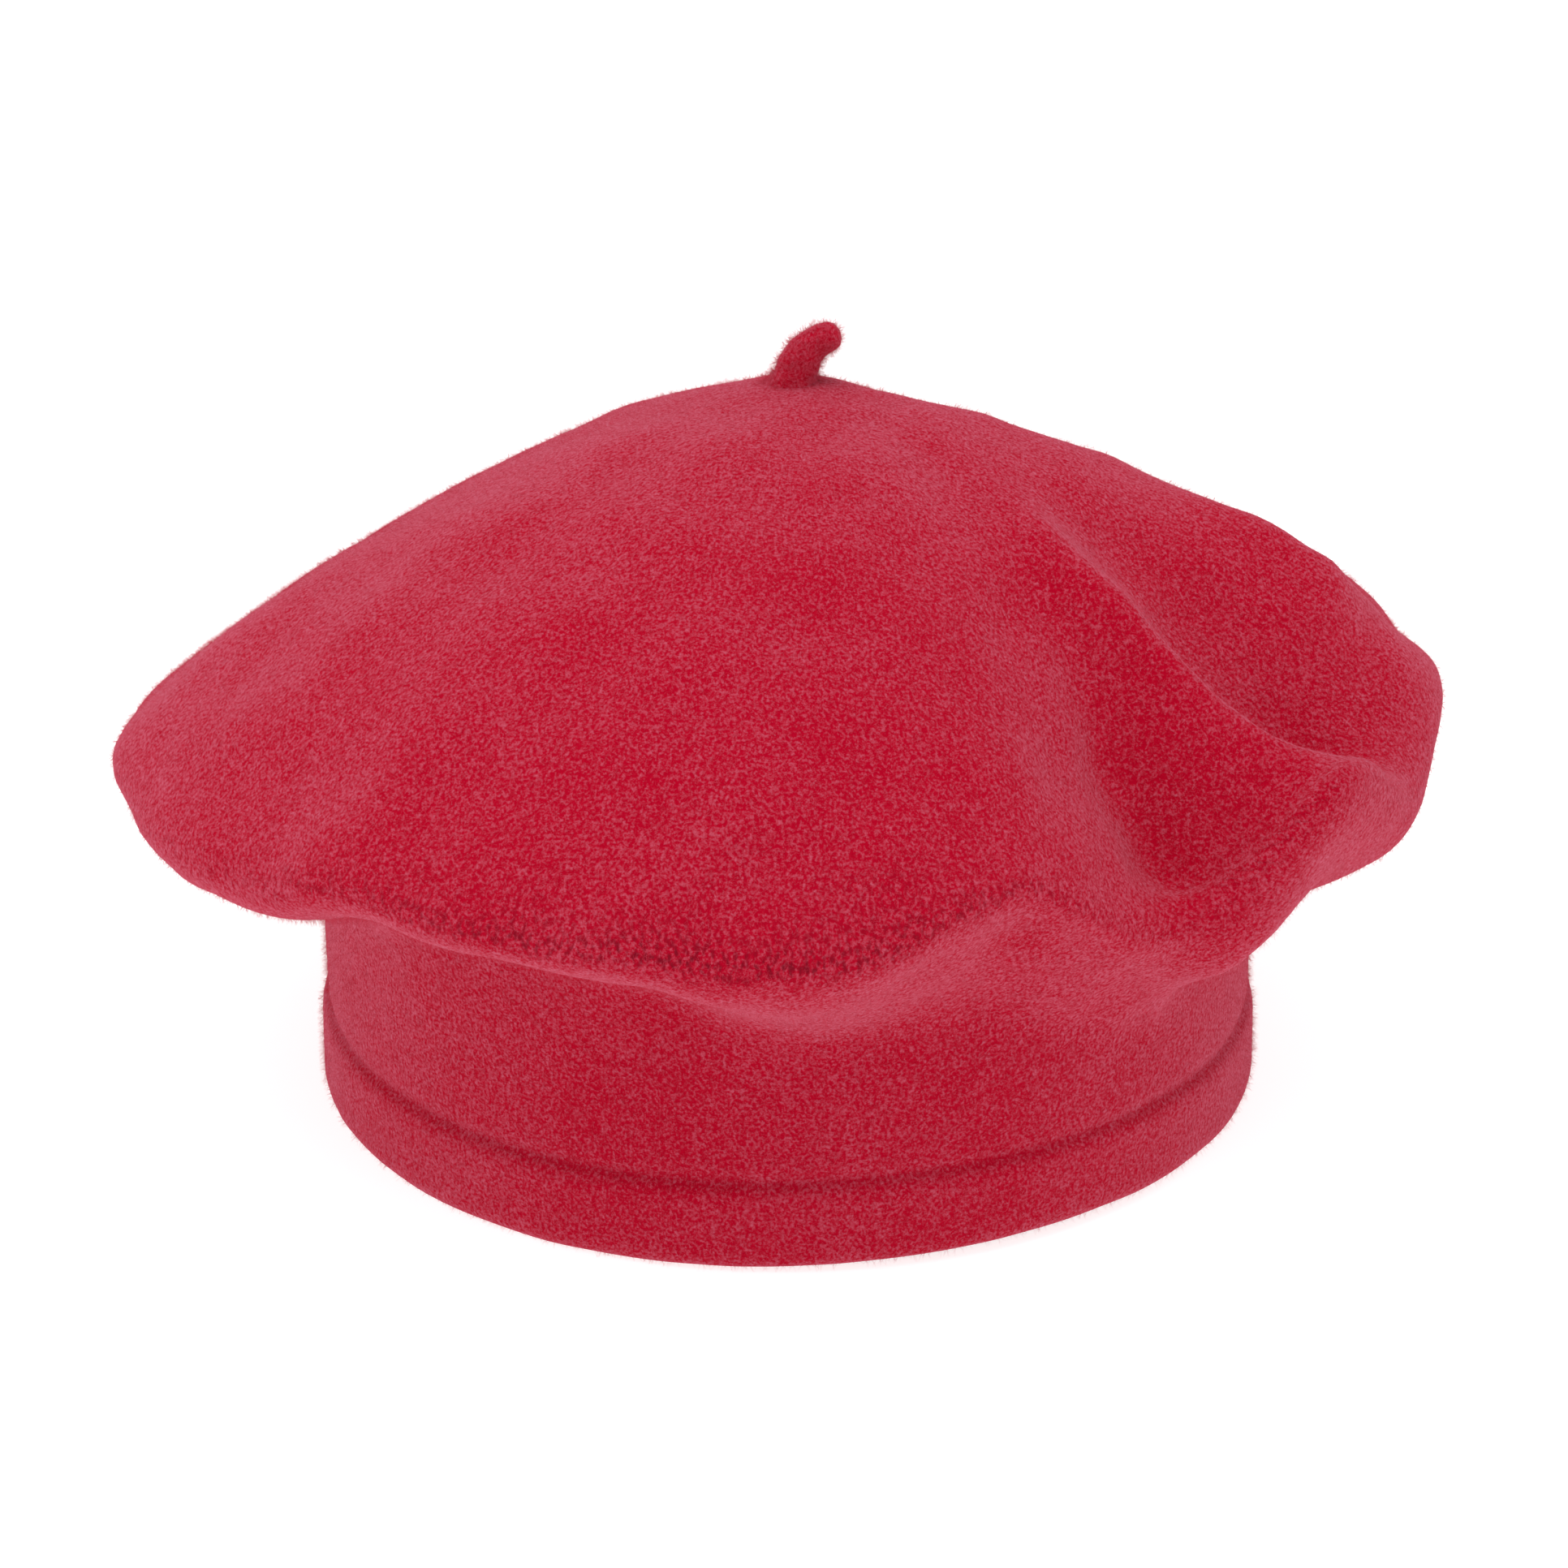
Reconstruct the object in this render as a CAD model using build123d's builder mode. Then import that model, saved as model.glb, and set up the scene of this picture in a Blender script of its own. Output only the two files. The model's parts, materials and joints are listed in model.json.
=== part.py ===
"""A beret of fulled wool: a felt crown with a stalk, on a felt collar with a turned-in hem.

The origin is on the surface that the beret stands on, at the middle of the head opening.
+Z is up, -Y is the front and all sizes are in millimetres. Each sub-part is its own solid,
or its own group of threads.
"""

from build123d import *
import os
from math import cos, pi, radians, sin

# Driving dimensions
HEAD_GIRTH = 570.0  # round the inside of the ribbon
FELT = 2.0  # thickness of the fulled wool
CROWN_TOP = 151.0  # height of the crown's outer face at the eye
RIM_RADIUS = 137.5  # from the axis to the outermost point of the rim
RIM_HEIGHT = 77.0  # height of that point
COLLAR_HEIGHT = 50.0  # the collar, from the edge it stands on
HEM_HEIGHT = 18.6  # how far the collar's felt is turned up inside
PRESS_TRAVEL = 28.0  # how far the crown can be pushed down over the collar

# Ribbon and threads
RIBBON = 0.6
RIBBON_HEIGHT = 25.0
RIBBON_FOOT = 3.0  # height of the ribbon's lower edge
RIBBON_SLIT = 0.4  # between its two ends
THREAD_RADIUS = 0.25

# The collar and the hem, worked outwards from the head
HEM_SLIT = 0.5  # between the hem and the wall that it is turned up against
SEAM_DENT = 1.1  # how far the seam draws the collar in above the hem
SEAM_HALF_WIDTH = 0.7
BASE_ROUND = 1.2
EDGE_ROUND = 0.8
head_radius = HEAD_GIRTH / (2 * pi)
hem_inside = head_radius + RIBBON
slit_inside = hem_inside + FELT
slit_outside = slit_inside + HEM_SLIT
hem_outside = slit_outside + FELT
collar_outside = hem_outside - SEAM_DENT
collar_inside = collar_outside - FELT

# The crown's neck slides over the collar, and stops above the hem
SLIDE_GAP = 0.4
STOP_GAP = 1.4
neck_inside = collar_outside + SLIDE_GAP
neck_outside = neck_inside + FELT
neck_foot = HEM_HEIGHT + STOP_GAP + PRESS_TRAVEL

# The crown's outline: the top's arc, the slope, the rim's arc and the underside
TOP_ARC = 146.0
SLOPE = 45.0  # degrees from level, and the top arc's span
RIM_ARC = 11.0
UNDERSIDE_RISE = 24.0  # degrees from level
NECK_ARC = 4.0

# The stalk stands in the eye, a little right of the crown's middle
EYE_X = 2.4
EYE_RADIUS = 2.4
FOOT_RADIUS = 3.8
FOOT_LIFT = 2.7  # of the foot's centre above the crown
FOOT_GAP = 0.3
STALK_LEAN = 16.0  # degrees from upright at the foot
STALK_CURL = 46.0  # degrees more at the tip
STALK_LENGTH = 10.8
STALK_RADIUS = 3.6
TIP_RADIUS = 3.0
ROOT_RADIUS = 8.0
ROOT_THICKNESS = 1.6
ROOT_ROUND = 1.0

# The labels hang inside the collar, above the ribbon
LABEL_TOP = 46.0
LABEL_REACH = 90.1  # from the axis to a label's outer face
LABEL_THICKNESS = 0.5
LABEL_CORNER = 0.8
LABEL_MARGIN = 1.3  # from a label's top edge to its stitches
LABELS = {  # name: (width, drop, degrees round from +X)
    "maker_label": (40.0, 16.0, 90.0),
    "care_label": (28.0, 16.5, 142.0),
}

# Stitches
HEM_STITCHES = 64
HEM_STITCH_LENGTH = 5.6
HEM_STITCH_TILT = 16.0  # degrees outwards
HEM_STITCH_SLANT = 38.0  # degrees round the collar
RIBBON_STITCHES = 80
RIBBON_STITCH_LENGTH = 4.2
RIBBON_STITCH_RISE = 1.8  # above the ribbon's lower edge
TACK_BARS = 8
TACK_PITCH = 2.5
TACK_LENGTH = 3.0
TACK_SLANT = 24.0  # degrees from level
ROOT_STITCHES = 10
ROOT_STITCH_LENGTH = 3.6
ROOT_STITCH_INSET = 0.6  # from the disc's edge to a stitch's middle
ROOT_STITCH_TILT = 58.0  # degrees from upright
LABEL_STITCH_PITCH = 3.2
LABEL_STITCH_LENGTH = 2.1

os.makedirs("parts", exist_ok=True)


# --- Collar ---
with BuildPart() as collar_felt:
    with BuildSketch(Plane.XZ) as collar_section:
        with BuildLine():
            Polyline(
                (hem_inside, 0),
                (hem_outside, 0),
                (hem_outside, HEM_HEIGHT - SEAM_HALF_WIDTH),
                (collar_outside, HEM_HEIGHT + SEAM_HALF_WIDTH),
                (collar_outside, COLLAR_HEIGHT),
                (collar_inside, COLLAR_HEIGHT),
                (collar_inside, HEM_HEIGHT + SEAM_HALF_WIDTH),
                (slit_outside, HEM_HEIGHT),
                (slit_outside, FELT),
                (slit_inside, FELT),
                (slit_inside, HEM_HEIGHT),
                (hem_inside, HEM_HEIGHT),
                close=True,
            )
        make_face()
        fillet(collar_section.vertices().group_by(Axis.Y)[0], BASE_ROUND)
        fillet(collar_section.vertices().group_by(Axis.Y)[-1], EDGE_ROUND)
    revolve(axis=Axis.Z)
collar_felt.part.label = "collar_felt"
export_step(collar_felt.part, "parts/collar_felt.step")

# Slanted stitches hold the hem's raw edge to the collar's wall
with BuildPart(Plane.XY.offset(HEM_HEIGHT)) as hem_stitches:
    with PolarLocations((hem_inside + collar_inside) / 2, HEM_STITCHES):
        Cylinder(
            THREAD_RADIUS,
            HEM_STITCH_LENGTH,
            rotation=(HEM_STITCH_SLANT, HEM_STITCH_TILT, 0),
        )
hem_stitches.part.label = "hem_stitches"
export_step(hem_stitches.part, "parts/hem_stitches.step")


# --- Ribbon ---
with BuildPart() as sweatband_ribbon:
    with BuildSketch(Plane.XY.offset(RIBBON_FOOT)):
        Circle(hem_inside)
        Circle(head_radius, mode=Mode.SUBTRACT)
        with Locations((0, head_radius)):
            Rectangle(RIBBON_SLIT, 4 * RIBBON, mode=Mode.SUBTRACT)
    extrude(amount=RIBBON_HEIGHT)
sweatband_ribbon.part.label = "sweatband_ribbon"
export_step(sweatband_ribbon.part, "parts/sweatband_ribbon.step")

# A running stitch along the ribbon's lower edge holds it to the hem
with BuildPart(Plane.XY.offset(RIBBON_FOOT + RIBBON_STITCH_RISE)) as ribbon_stitches:
    first = 90 + 180 / RIBBON_STITCHES
    with PolarLocations(head_radius + THREAD_RADIUS / 2, RIBBON_STITCHES, first):
        Cylinder(THREAD_RADIUS, RIBBON_STITCH_LENGTH, rotation=(90, 0, 0))
ribbon_stitches.part.label = "ribbon_stitches"
export_step(ribbon_stitches.part, "parts/ribbon_stitches.step")

# A tack of slanted bars closes the ribbon's two ends at the back
with BuildPart(Plane.XZ.offset(-head_radius)) as ribbon_tack:
    with Locations((0, RIBBON_FOOT + RIBBON_HEIGHT / 2)):
        with GridLocations(1, TACK_PITCH, 1, TACK_BARS):
            Cylinder(THREAD_RADIUS, TACK_LENGTH, rotation=(0, 90, TACK_SLANT))
ribbon_tack.part.label = "ribbon_tack"
export_step(ribbon_tack.part, "parts/ribbon_tack.step")


# --- Crown ---
with BuildPart() as crown_felt:
    with BuildSketch(Plane.XZ) as crown_section:
        with BuildLine():
            rim = CenterArc(
                (RIM_RADIUS - RIM_ARC, RIM_HEIGHT),
                RIM_ARC,
                UNDERSIDE_RISE - 90,
                180 - SLOPE - UNDERSIDE_RISE,
            )
            top_foot = CROWN_TOP - TOP_ARC * (1 - cos(radians(SLOPE)))
            slope_length = (top_foot - (rim @ 1).Y) / sin(radians(SLOPE))
            slope = PolarLine(rim @ 1, slope_length, 180 - SLOPE)
            top_middle = (slope @ 1).X - TOP_ARC * sin(radians(SLOPE))
            top = CenterArc((top_middle, CROWN_TOP - TOP_ARC), TOP_ARC, 90 - SLOPE, SLOPE)
            underside_run = (rim @ 0).X - neck_outside
            underside_length = underside_run / cos(radians(UNDERSIDE_RISE))
            underside = PolarLine(rim @ 0, underside_length, 180 + UNDERSIDE_RISE)
            Polyline(underside @ 1, (neck_outside, neck_foot), (0, neck_foot), (0, CROWN_TOP), top @ 1)
        make_face()
        fillet(crown_section.vertices().sort_by_distance(underside @ 1)[0], NECK_ARC)
    revolve(axis=Axis.Z)
    offset(amount=-FELT, openings=crown_felt.faces().sort_by(Axis.Z)[0], kind=Kind.INTERSECTION)
    with Locations((EYE_X, 0, CROWN_TOP)):
        Cylinder(EYE_RADIUS, 4 * FELT, mode=Mode.SUBTRACT)
    with Locations((EYE_X, 0, CROWN_TOP + FOOT_LIFT)):
        Sphere(FOOT_RADIUS + FOOT_GAP, mode=Mode.SUBTRACT)
crown_felt.part.label = "crown_felt"
export_step(crown_felt.part, "parts/crown_felt.step")


# --- Stalk ---
# A felt finger that curls over to the right from a round foot in the eye
with BuildPart() as stalk:
    with BuildLine(Plane.XZ) as spine:
        heading = (sin(radians(STALK_LEAN)), cos(radians(STALK_LEAN)))
        foot = (EYE_X, CROWN_TOP + FOOT_LIFT)
        JernArc(foot, heading, STALK_LENGTH / radians(STALK_CURL), -STALK_CURL)
    for share in (0, 0.5, 1):
        with BuildSketch(spine.line ^ share):
            Circle(STALK_RADIUS + (TIP_RADIUS - STALK_RADIUS) * share)
    loft()
    with Locations(spine.line @ 1):
        Sphere(TIP_RADIUS)
    with Locations(spine.line @ 0):
        Sphere(FOOT_RADIUS)
stalk.part.label = "stalk"
export_step(stalk.part, "parts/stalk.step")

# Its inner end: a plug in the eye, splayed to a disc against the crown's inner face
with BuildPart() as stalk_root:
    with BuildSketch(Plane.XY.offset(CROWN_TOP - FELT - ROOT_THICKNESS)):
        with Locations((EYE_X, 0)):
            Circle(ROOT_RADIUS)
    extrude(amount=ROOT_THICKNESS)
    fillet(stalk_root.edges().group_by(Axis.Z)[0], ROOT_ROUND)
    with BuildSketch(Plane.XY.offset(CROWN_TOP - FELT)):
        with Locations((EYE_X, 0)):
            Circle(EYE_RADIUS)
    extrude(amount=FELT)
    with Locations((EYE_X, 0, CROWN_TOP + FOOT_LIFT)):
        Sphere(FOOT_RADIUS + FOOT_GAP, mode=Mode.SUBTRACT)
stalk_root.part.label = "stalk_root"
export_step(stalk_root.part, "parts/stalk_root.step")

# Threads spaced evenly round the disc tie it to the crown
with BuildPart(Plane((EYE_X, 0, CROWN_TOP - FELT - ROOT_THICKNESS / 2))) as root_stitches:
    with PolarLocations(ROOT_RADIUS - ROOT_STITCH_INSET, ROOT_STITCHES):
        Cylinder(THREAD_RADIUS, ROOT_STITCH_LENGTH, rotation=(0, ROOT_STITCH_TILT, 0))
root_stitches.part.label = "root_stitches"
export_step(root_stitches.part, "parts/root_stitches.step")


# --- Labels ---
def label_plane(angle):
    """A label's outer face: its origin at the middle of the top edge, y up and z inwards."""
    outwards = Vector(cos(radians(angle)), sin(radians(angle)), 0)
    origin = outwards * LABEL_REACH + Vector(0, 0, LABEL_TOP)
    return Plane(origin, x_dir=(outwards.Y, -outwards.X, 0), z_dir=-outwards)


for name, (width, drop, angle) in LABELS.items():
    with BuildPart() as label:
        with BuildSketch(label_plane(angle)):
            with Locations((0, -drop / 2)):
                RectangleRounded(width, drop, LABEL_CORNER)
        extrude(amount=LABEL_THICKNESS)
    label.part.label = name
    export_step(label.part, f"parts/{name}.step")

    stitch_count = round(width / LABEL_STITCH_PITCH) - 1
    with BuildPart(label_plane(angle).offset(LABEL_THICKNESS)) as label_stitches:
        with Locations((0, -LABEL_MARGIN)):
            with GridLocations(LABEL_STITCH_PITCH, 1, stitch_count, 1):
                Cylinder(THREAD_RADIUS, LABEL_STITCH_LENGTH, rotation=(0, 90, 0))
    label_stitches.part.label = f"{name}_stitches"
    export_step(label_stitches.part, f"parts/{name}_stitches.step")
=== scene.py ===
"""A crimson beret of fulled wool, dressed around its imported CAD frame.

The felt is one skin from the eye down to the hem and up inside again. It is worked out in
millimetres from the frame's own sizes, with the lobes, folds and tucks of a worn beret given
as short lists of keys, and turned into metres as each mesh is made. -Y is the front, and
headings are in degrees, anticlockwise from +X as seen from above.
"""

import json
from math import cos, pi, radians, sin

import bmesh
import bpy
import numpy as np
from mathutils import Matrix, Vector


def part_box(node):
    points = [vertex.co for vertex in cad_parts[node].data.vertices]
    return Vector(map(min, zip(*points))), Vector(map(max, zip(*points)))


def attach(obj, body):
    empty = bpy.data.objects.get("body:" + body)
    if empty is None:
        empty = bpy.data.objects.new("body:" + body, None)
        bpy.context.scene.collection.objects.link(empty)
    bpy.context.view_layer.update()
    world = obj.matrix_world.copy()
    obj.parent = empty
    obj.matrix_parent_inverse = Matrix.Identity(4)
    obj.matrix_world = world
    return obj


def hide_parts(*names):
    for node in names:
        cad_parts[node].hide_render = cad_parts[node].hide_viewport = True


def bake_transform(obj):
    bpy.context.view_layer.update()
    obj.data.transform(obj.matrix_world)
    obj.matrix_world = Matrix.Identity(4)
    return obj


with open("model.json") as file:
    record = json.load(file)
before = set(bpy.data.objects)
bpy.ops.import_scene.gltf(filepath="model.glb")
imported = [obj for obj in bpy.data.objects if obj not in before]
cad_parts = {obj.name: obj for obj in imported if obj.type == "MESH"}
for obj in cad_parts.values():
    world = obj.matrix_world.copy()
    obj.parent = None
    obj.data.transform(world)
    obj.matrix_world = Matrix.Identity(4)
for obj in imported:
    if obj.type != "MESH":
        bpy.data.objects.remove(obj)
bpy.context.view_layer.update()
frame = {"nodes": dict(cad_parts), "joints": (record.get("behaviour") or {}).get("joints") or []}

MM = 0.001
JOINTS = {joint["name"]: joint for joint in frame["joints"]}


def box_mm(node):
    """A CAD node's lowest and highest corners in millimetres."""
    low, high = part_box(node)
    return np.array(low) / MM, np.array(high) / MM


# --- Sizes in millimetres, read from the frame or matched to it ---
collar_high = box_mm("collar_felt")[1]
ribbon_low, ribbon_high = box_mm("sweatband_ribbon")
EYE = np.array(JOINTS["stalk_bend"]["pos_m"]) / MM
TOP = 151.0  # height of the felt round the eye
FELT_THICKNESS = 2.0
RIBBON_OUTSIDE = ribbon_high[0]
RIBBON_THICKNESS = 0.6
COLLAR_RADIUS = collar_high[0] - 0.4  # the wall is a little narrower than the hem below it
COLLAR_LOW = 22.0  # where the plain wall of the collar ends above the hem
SEAM_HEIGHT = 18.6

# The rim all round: heading, radius, height of its widest line, size of its roll, and how far
# the middle of the underside lies below the roll
RIM = [
    (0, 131.5, 85.5, 8, 6), (10, 130, 77, 8, 6), (22, 129, 72, 8, 6), (40, 130, 71, 9, 6),
    (65, 133, 69, 10, 6), (90, 136, 67, 10, 6), (120, 135, 65, 10, 6), (150, 132, 65, 9, 6),
    (172, 132, 71, 7, 7), (188, 136.5, 75.5, 6, 7), (200, 137, 76, 7, 6), (213, 134, 76, 7, 4),
    (231, 131, 82, 6, 3), (246, 129, 82, 6, 3), (257, 127, 81, 7, 4), (265, 125, 79, 8, 6),
    (273, 122, 78, 8, 8), (280, 119.5, 81, 8, 10), (287, 116, 85, 7, 13), (292, 113.5, 87, 6, 15),
    (300, 112, 79, 6, 13), (307, 110, 70, 6, 8), (314, 110, 65, 6, 5), (317, 113.5, 66, 5.5, 5),
    (320, 120, 71, 5, 6), (322.5, 125.5, 78, 5, 7), (325.5, 129, 83, 5, 8), (331, 131, 83, 6, 7),
    (337, 130.5, 82, 8, 6), (344, 130.5, 81, 9, 6), (352, 131.5, 84, 10, 6),
]

# How much taller the rim's face is than its roll: heading and height
FACE = [
    (0, 0), (180, 0), (270, 0), (311, 0), (316, 2),
    (320, 10), (325, 17), (331, 12), (338, 4), (347, 0),
]

# The top between the eye and the rim: heading, then how far down towards the rim's height
# the felt has come at each of the shares of the rim's radius
TOP_SHARES = (0.34, 0.62, 0.86)
TOP_FALL = [
    (0, 0.108, 0.33, 0.57), (22, 0.20, 0.475, 0.65), (45, 0.235, 0.535, 0.745),
    (90, 0.22, 0.56, 0.88), (135, 0.18, 0.50, 0.88), (180, 0.14, 0.40, 0.715),
    (205, 0.09, 0.33, 0.62), (235, 0.06, 0.30, 0.62), (270, 0.05, 0.28, 0.60),
    (300, 0.06, 0.32, 0.68), (308, 0.07, 0.35, 0.79), (318, 0.08, 0.38, 1.13),
    (326, 0.08, 0.39, 1.12), (336, 0.09, 0.39, 0.93), (347, 0.10, 0.36, 0.66),
]
# How closely the felt follows the rim's narrow lobes at each of those shares
TOP_LOCALITY = (0, 0.1, 0.6)
FACE_PUSH = 0.005  # how much farther out the last share lies for each millimetre of face

# The level ground round the eye, which slopes down a little to the back, and the small flare
# of felt round the stalk's foot
EYE_GROUND = 10
EYE_FALL = 0.2
EYE_SLOPE = 0.7
EYE_FLARE = 0.4
EYE_FLARE_REACH = 9
EYE_PULL = 110  # how far out the eye's place shifts the felt around it

# How far outside the collar's wall the underside is taken to end, and the bend from there into
# the wall: how far outside it, and how far below the middle of the underside
UNDERSIDE_END = 4
NECK = [(4.5, 5), (0.6, 11)]

# The hem, down from the collar's wall: how far outside that wall, and height
HEM_OUTLINE = [
    (0, COLLAR_LOW - 0.6), (-0.6, SEAM_HEIGHT), (0.7, SEAM_HEIGHT - 1.5), (1.2, 15), (1.2, 8),
    (1.2, 3), (0.8, 1.2), (-0.2, 0.15), (-1.0, 0),
]

# The turned-up hem inside, up to its raw edge: how far outside the ribbon's back, and height
HEM_INSIDE = [
    (1.4, 0.0), (0.5, 0.3), (0, 1.2), (0, 5), (0, 12), (0, 17.6), (0.4, 18.4), (1.4, 18.6),
    (1.8, 19.2), (2.0, 21.5),
]

# The hem lifts off the table at the front right: height, heading, spread in degrees, and the
# height on the collar at which the lift has died away
HEM_LIFT = 2.3
LIFT_HEADING = 304
LIFT_SPREAD = 30
LIFT_FADE = 60

# Folds seen from above: path from the eye outwards, height, half width to the left of the
# path and to its right, and how much of the path it takes to rise and to die away
FOLDS = [
    ([(34, -25), (76, -61), (104, -64), (126, -54)], 15, 6, 10, 0.55, 0.3),
    ([(50, -20), (84, -44), (108, -44), (134, -36)], -6, 10, 7, 0.5, 0),
    ([(72, 0), (84, -3), (96, -6), (118, -9)], 4.5, 4, 6, 0.6, 0.2),
    ([(70, 10), (95, 7), (124, 4)], -3, 6, 6, 0.6, 0),
    ([(-80, -5), (-113, -20), (-128, -24)], 2.5, 8, 9, 0.5, 0),
    ([(-45, -50), (-70, -78), (-83, -98)], 2.0, 10, 10, 0.5, 0),
]
FOLDS_LOW = 52  # folds die away between these heights on the neck
FOLDS_FULL = 74
FOLD_CHANGE = 4  # how wide a strip along a fold's crest blends its left and right widths

# Gentle unevenness of the hand-blocked felt: wavelength, height, heading
UNEVEN = [(46, 0.5, 20), (31, 0.25, 95), (23, 0.16, 160), (15, 0.07, 55)]
COLLAR_UNEVEN = 0.25  # the share of it that the collar shows
CROWN_STARTS = 25  # above this height the unevenness grows to the crown's

COLUMNS = 432
OUTER_ROWS = 150
HEM_ROWS = 24
INNER_STEP = 2  # the inside has one row for each two outside

HEADINGS = np.arange(COLUMNS) * 360 / COLUMNS


# --- Curves and grids ---
def ease(share):
    """From 0 to 1 with level ends."""
    share = np.clip(share, 0, 1)
    return share * share * (3 - 2 * share)


def bell(distance, spread):
    """From 1 at no distance down to 0 on both sides."""
    return np.exp(-0.5 * (distance / spread) ** 2)


def turned(degrees, heading):
    """The shortest way round from a heading, between -180 and 180 degrees."""
    return (degrees - heading + 180) % 360 - 180


def around(keys, column, degrees):
    """A smooth closed curve through one column of the keys, read at some headings."""
    angle = np.array([key[0] for key in keys], float)
    value = np.array([key[column] for key in keys], float)
    angle = np.concatenate([angle - 360, angle, angle + 360])
    value = np.tile(value, 3)
    slope = np.gradient(value, angle)
    at = np.clip(np.searchsorted(angle, degrees, side="right") - 1, 0, len(angle) - 2)
    gap = angle[at + 1] - angle[at]
    t = (degrees - angle[at]) / gap
    rise = (value[at + 1] - value[at]) * ease(t)
    bend = (1 - t) ** 2 * t * gap * slope[at] - (1 - t) * t**2 * gap * slope[at + 1]
    return value[at] + rise + bend


def spline(rows, steps):
    """A cubic B-spline from the first row of points to the last."""
    rows = [rows[0]] * 2 + list(rows) + [rows[-1]] * 2
    t = np.linspace(0, 1, steps, endpoint=False).reshape(-1, *[1] * np.ndim(rows[0]))
    parts = []
    for first in range(len(rows) - 3):
        a, b, c, d = rows[first : first + 4]
        part = a * (1 - t) ** 3 + b * (3 * t**3 - 6 * t**2 + 4)
        part = part + c * (1 + 3 * t + 3 * t**2 - 3 * t**3) + d * t**3
        parts.append(part / 6)
    return np.concatenate([*parts, np.array(rows[-1])[None]])


def spaced(line, count):
    """The same line of points with even spacing."""
    lengths = np.linalg.norm(np.diff(line, axis=0), axis=1)
    along = np.concatenate([[0], np.cumsum(lengths)])
    even = np.linspace(0, along[-1], count)
    return np.stack([np.interp(even, along, column) for column in line.T], axis=1)


def smooth_line(points, count):
    """An evenly spaced smooth line near a few points."""
    return spaced(spline([np.array(point, float) for point in points], 12), count)


def broad(value, degrees, spread=18.0):
    """The same closed curve with its narrow waves smoothed away."""
    weight = bell(turned(degrees[:, None], degrees[None]), spread)
    return weight @ value / weight.sum(axis=1)


def outward(grid):
    """Unit normals of a grid of rows and closed columns."""
    down = np.gradient(grid, axis=0)
    over = np.roll(grid, -1, axis=1) - np.roll(grid, 1, axis=1)
    normal = np.cross(down, over)
    normal[0] = (0, 0, 1)
    return normal / np.linalg.norm(normal, axis=2, keepdims=True)


# --- Meshes ---
def mesh_object(name, points, faces):
    """A smooth-shaded mesh in metres from points in millimetres."""
    mesh = bpy.data.meshes.new(name)
    mesh.from_pydata((np.asarray(points) * MM).tolist(), [], faces)
    mesh.validate()
    mesh.polygons.foreach_set("use_smooth", [True] * len(mesh.polygons))
    thing = bpy.data.objects.new(name, mesh)
    bpy.context.scene.collection.objects.link(thing)
    return thing


def grid_faces(rows, columns, closed=True, first=0):
    """Quads over a grid of points, joined round its columns when it is closed."""
    faces = []
    for row in range(rows - 1):
        for column in range(columns if closed else columns - 1):
            beside = (column + 1) % columns
            a, b = first + row * columns, first + (row + 1) * columns
            faces.append((a + column, b + column, b + beside, a + beside))
    return faces


def face_outwards(thing):
    """Turn every face of a closed mesh outwards."""
    work = bmesh.new()
    work.from_mesh(thing.data)
    bmesh.ops.recalc_face_normals(work, faces=work.faces)
    work.to_mesh(thing.data)
    work.free()


def corner_points(thing):
    """The number of the point at each corner of each face."""
    corner = np.zeros(len(thing.data.loops), np.int64)
    thing.data.loops.foreach_get("vertex_index", corner)
    return corner


def add_uv(thing, name, u, v):
    """A UV layer from a value of u and v for each corner."""
    layer = thing.data.uv_layers.new(name=name)
    layer.data.foreach_set("uv", np.stack([u, v], axis=1).astype(np.float32).ravel())


def add_shade(thing, name, values):
    """A value at each point, for a material to read."""
    made = thing.data.attributes.new(name, "FLOAT", "POINT")
    made.data.foreach_set("value", values.astype(np.float32))


# --- Materials ---
def material(name):
    """A new material with its tree and its Principled shader."""
    made = bpy.data.materials.new(name)
    made.use_nodes = True
    return made, made.node_tree, made.node_tree.nodes["Principled BSDF"]


def add(tree, kind, values=(), **settings):
    """A node with some of its inputs set or linked, by name or number."""
    made = tree.nodes.new(kind)
    for name, value in settings.items():
        setattr(made, name, value)
    for name, value in dict(values).items():
        if isinstance(value, bpy.types.NodeSocket):
            tree.links.new(value, made.inputs[name])
        else:
            made.inputs[name].default_value = value
    return made


def noise(tree, place, scale, detail=2.0, roughness=0.5):
    """The factor of a noise texture."""
    values = {"Vector": place, "Scale": scale, "Detail": detail, "Roughness": roughness}
    return add(tree, "ShaderNodeTexNoise", values).outputs[0]


def scaled(tree, place, scale):
    """Places stretched or squeezed along each axis."""
    return add(tree, "ShaderNodeMapping", {"Vector": place, "Scale": scale}).outputs[0]


def shade(tree, name):
    """A value that was stored at each point of a mesh."""
    return add(tree, "ShaderNodeAttribute", attribute_name=name).outputs["Fac"]


def calculate(tree, operation, a, b):
    """One arithmetic step on two values."""
    return add(tree, "ShaderNodeMath", {0: a, 1: b}, operation=operation).outputs[0]


def with_shares(tree, first, others):
    """A value with a share of each of some others added to it."""
    total = first
    for value, share in others:
        total = calculate(tree, "ADD", total, calculate(tree, "MULTIPLY", value, share))
    return total


def ramp(tree, value, low, high, kind="LINEAR"):
    """From 0 to 1 as a value goes from low to high."""
    values = {"Value": value, "From Min": low, "From Max": high}
    return add(tree, "ShaderNodeMapRange", values, interpolation_type=kind).outputs[0]


def between(tree, share, a, b):
    """A colour between two others."""
    values = {0: share, 6: a, 7: b}  # the mix node's factor and its two colours
    return add(tree, "ShaderNodeMix", values, data_type="RGBA").outputs[2]


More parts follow.
